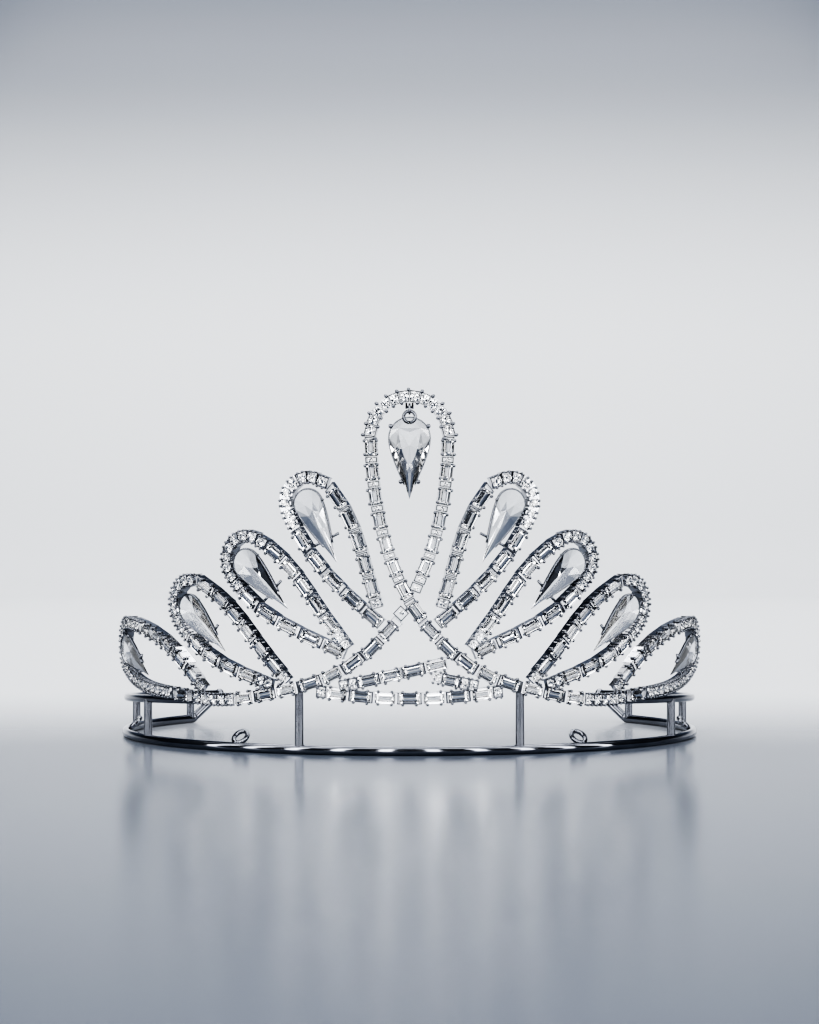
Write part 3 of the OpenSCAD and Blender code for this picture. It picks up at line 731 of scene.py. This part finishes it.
def add_run(name, stones):
    """Makes a band's run-on stones as a piece of their own."""
    if stones:
        builder = Builder()
        for s in stones:
            cut_round(builder, s)
        builder.piece(name + "_run_on_rounds", BRILLIANT, "frame", "round_crystal", [])
    return stones


def ribbon(name, setting_nodes, baguette_node, round_node, obstacles=(), shared_prongs=False):
    """One loop: its baguettes and round stones, with run-on stones up to the obstacles, and its setting."""
    bars = [Stone(points) for points in islands(baguette_node)]
    rounds = [Stone(points) for points in islands(round_node)]
    orient_rounds(bars + rounds)
    rounds += run_on(bars + rounds, obstacles) if obstacles else []
    cut_stones(name + "_cut_baguettes", baguette_node, bars, BAGUETTE, "baguette_crystal")
    cut_stones(name + "_cut_rounds", round_node, rounds, BRILLIANT, "round_crystal")
    setting(name, bars + rounds, setting_nodes, shared_prongs)


def make_loops():
    centre = ("centre_loop_baguettes", "centre_loop_rounds")
    bands = ("band_baguettes", "band_rounds")
    ribbon("centre_loop", ["centre_loop_setting"], *centre, shared_prongs=True)
    for side in SIDES:
        own = {i: (f"loop_{i}_baguettes_{side}", f"loop_{i}_rounds_{side}") for i in range(1, 5)}
        for i in own:
            nodes = [node for j in own if j != i for node in own[j]]
            obstacles = stones_of(*centre, *bands, *nodes)
            ribbon(f"loop_{i}_{side}", [f"loop_{i}_setting_{side}"], *own[i], obstacles)


def make_bands():
    stones = stones_of("band_baguettes", "band_rounds")
    bars = [s for s in stones if not s.round]
    rounds = [s for s in stones if s.round]
    cut_stones("band_cut_baguettes", "band_baguettes", bars, BAGUETTE, "baguette_crystal")
    cut_stones("band_cut_rounds", "band_rounds", rounds, BRILLIANT, "round_crystal")
    centre_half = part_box("centre_band_setting")[1].x / MM
    crossing = stones_of("centre_loop_baguettes", "centre_loop_rounds")
    groups = {"centre": [], "left": [], "right": []}
    for s in stones:
        where = "centre" if abs(s.o.x) < centre_half else "left" if s.o.x < 0 else "right"
        groups[where].append(s)
    groups["centre"] += add_run("centre_band", run_on(groups["centre"], crossing, feet_only=False))
    setting("centre_band", groups["centre"], ["centre_band_setting"])
    for side in SIDES:
        setting(f"side_band_{side}", groups[side], [f"side_band_setting_{side}"])
    strips = stones_of("cross_strip_baguettes")
    cut_stones("cross_strip_cut_baguettes", "cross_strip_baguettes", strips, BAGUETTE, "baguette_crystal")
    strips += add_run("cross_strip", run_on(strips, crossing + stones, feet_only=False))
    setting("cross_strip", strips, ["cross_strip_setting_front", "cross_strip_setting_back"])


def make_pears():
    for side in SIDES:
        places = []
        for i in range(1, 5):
            node = f"pear_{i}_{side}"
            builder = Builder()
            place = pear_place(node)
            places.append(place)
            cut_pear(builder, place)
            builder.piece(f"{node}_cut", PEAR, "frame", "pear_crystal", [node])
        pear_claws(side, places)
    builder = Builder()
    place = pear_place("drop_stone")
    cut_pear(builder, place)
    builder.piece("drop_stone_cut", DROP, "drop", "drop_crystal", ["drop_stone"])
    drop_mount(place)


def finish_wires():
    """The wires, posts, eyelets and hanging parts keep their CAD shape and get polished metal."""
    for name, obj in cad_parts.items():
        if obj.hide_render:
            continue
        fine = name.startswith(("pear_claws", "hanger", "drop"))
        obj.data.materials.clear()
        obj.data.materials.append(CLAW if fine else WIRE)


make_loops()
make_bands()
make_pears()
finish_wires()


# ---- studio ----

# Places of the colour sockets on a Mix node
MIX_FACTOR, MIX_A, MIX_B, MIX_RESULT = 0, 6, 7, 2


FLOOR_HALF = 3.5
# Where the floor turns up, and the radius it does so with
CURVE_FROM = 1.3
CURVE_R = 0.7
CURVE_STEPS = 16


def make_floor():
    """A plain pale sweep: a floor that curves up into a wall behind the tiara. Painted shade darkens its
    colour on the floor in front of the tiara and towards the top of the wall.
    """
    profile = [(-3.0, 0.0), (CURVE_FROM, 0.0)]
    for i in range(1, CURVE_STEPS + 1):
        turn = math.pi / 2 * i / CURVE_STEPS
        profile.append((CURVE_FROM + CURVE_R * math.sin(turn), CURVE_R * (1 - math.cos(turn))))
    profile.append((CURVE_FROM + CURVE_R, 3.0))
    points = [(x, y, z) for y, z in profile for x in (-FLOOR_HALF, FLOOR_HALF)]
    faces = [(2 * i, 2 * i + 1, 2 * i + 3, 2 * i + 2) for i in range(len(profile) - 1)]
    mesh = bpy.data.meshes.new("floor_sweep")
    mesh.from_pydata(points, [], faces)
    mesh.polygons.foreach_set("use_smooth", [True] * len(faces))
    floor = bpy.data.objects.new("floor_sweep", mesh)
    bpy.context.scene.collection.objects.link(floor)
    material, nodes, links, shader = new_material("pale_floor_painted_shade")
    shader.inputs["Specular IOR Level"].default_value = 0.16
    coords = add_node(nodes, "ShaderNodeTexCoord")
    split = add_node(nodes, "ShaderNodeSeparateXYZ")
    # Painted shade: the floor's colour goes from dark in front of the tiara to pale behind it
    painted_front_shade = add_node(nodes, "ShaderNodeMapRange", From_Min=-0.06, From_Max=0.22)
    painted_front_shade.interpolation_type = "SMOOTHSTEP"
    # Painted shade on the wall: its colour is mixed to a dark tone towards the top
    height = add_node(nodes, "ShaderNodeMapRange", From_Min=0.18, From_Max=0.56)
    height.interpolation_type = "SMOOTHSTEP"
    painted_top_shade = add_node(nodes, "ShaderNodeMix", data_type="RGBA")
    painted_top_shade.inputs[MIX_B].default_value = (0.07, 0.085, 0.12, 1)
    # Dark end: painted shade on the floor in front; pale end: the floor's own colour
    tone = add_node(nodes, "ShaderNodeValToRGB")
    tone.color_ramp.elements[0].color = (0.085, 0.10, 0.13, 1)
    tone.color_ramp.elements[1].color = (0.74, 0.76, 0.79, 1)
    noise = add_node(nodes, "ShaderNodeTexNoise", Scale=3.0, Detail=2.0)
    rough = add_node(nodes, "ShaderNodeMapRange", To_Min=0.16, To_Max=0.22)
    links.new(coords.outputs["Object"], split.inputs["Vector"])
    links.new(split.outputs["Y"], painted_front_shade.inputs["Value"])
    links.new(painted_front_shade.outputs["Result"], tone.inputs["Fac"])
    links.new(split.outputs["Z"], height.inputs["Value"])
    links.new(height.outputs["Result"], painted_top_shade.inputs[MIX_FACTOR])
    links.new(tone.outputs["Color"], painted_top_shade.inputs[MIX_A])
    links.new(painted_top_shade.outputs[MIX_RESULT], shader.inputs["Base Color"])
    links.new(noise.outputs["Fac"], rough.inputs["Value"])
    links.new(rough.outputs["Result"], shader.inputs["Roughness"])
    mesh.materials.append(material)


def softbox(name, place, target, width, height, watts):
    light = bpy.data.lights.new(name, "AREA")
    light.shape = "RECTANGLE"
    light.size, light.size_y = width, height
    light.energy = watts
    obj = bpy.data.objects.new(name, light)
    obj.visible_camera = False
    obj.location = place
    obj.rotation_euler = (Vector(target) - Vector(place)).to_track_quat("-Z", "Y").to_euler()
    bpy.context.scene.collection.objects.link(obj)


STRIPS = 10
STRIP_ARC = 82
STRIP_RADIUS = 1.2
# Two strips come down to the floor, the others stay over it; heights of their middles
LOW_STRIPS = (2, 7)
STRIP_LOW = 0.34
STRIP_HIGH = 0.47


def make_lights():
    """A light on the backdrop, one overhead and an arc of narrow strips round the front."""
    middle = (0, 0, 0.045)
    softbox("backdrop", (0, 0.9, 1.3), (0, 1.9, 0.1), 1.1, 0.5, 26)
    softbox("top", (0, -0.05, 0.9), middle, 1.8, 1.2, 15)
    for i in range(STRIPS):
        turn = math.radians(STRIP_ARC * (2 * i / (STRIPS - 1) - 1))
        height = STRIP_LOW if i in LOW_STRIPS else STRIP_HIGH
        place = (STRIP_RADIUS * math.sin(turn), -STRIP_RADIUS * math.cos(turn), height)
        softbox(f"strip_{i}", place, middle, 0.11, 0.85, 2.9)


def make_world():
    """A dark studio room, a little paler overhead."""
    world = bpy.data.worlds.new("studio")
    bpy.context.scene.world = world
    world.use_nodes = True
    nodes, links = world.node_tree.nodes, world.node_tree.links
    coords = add_node(nodes, "ShaderNodeTexCoord")
    split = add_node(nodes, "ShaderNodeSeparateXYZ")
    ramp = add_node(nodes, "ShaderNodeValToRGB")
    ramp.color_ramp.elements[0].position = 0.4
    ramp.color_ramp.elements[0].color = (0.012, 0.013, 0.016, 1)
    ramp.color_ramp.elements[1].position = 0.95
    ramp.color_ramp.elements[1].color = (0.10, 0.11, 0.13, 1)
    lift = add_node(nodes, "ShaderNodeMapRange", From_Min=-1.0, From_Max=1.0)
    links.new(coords.outputs["Generated"], split.inputs["Vector"])
    links.new(split.outputs["Z"], lift.inputs["Value"])
    links.new(lift.outputs["Result"], ramp.inputs["Fac"])
    links.new(ramp.outputs["Color"], nodes["Background"].inputs["Color"])
    nodes["Background"].inputs["Strength"].default_value = 1.0


CAMERA_BACK = 0.7347
CAMERA_HEIGHT = 0.0581
LENS = 109.2


def make_camera():
    """Level, straight in front, at the height of the loops' middle."""
    data = bpy.data.cameras.new("camera")
    data.lens = LENS
    data.sensor_width = 36
    camera = bpy.data.objects.new("camera", data)
    camera.location = (0, cad_box[0].y - CAMERA_BACK, CAMERA_HEIGHT)
    camera.rotation_euler = (math.pi / 2, 0, 0)
    bpy.context.scene.collection.objects.link(camera)
    bpy.context.scene.camera = camera


bpy.context.scene.view_settings.look = "AgX - High Contrast"
make_floor()
make_lights()
make_world()
make_camera()
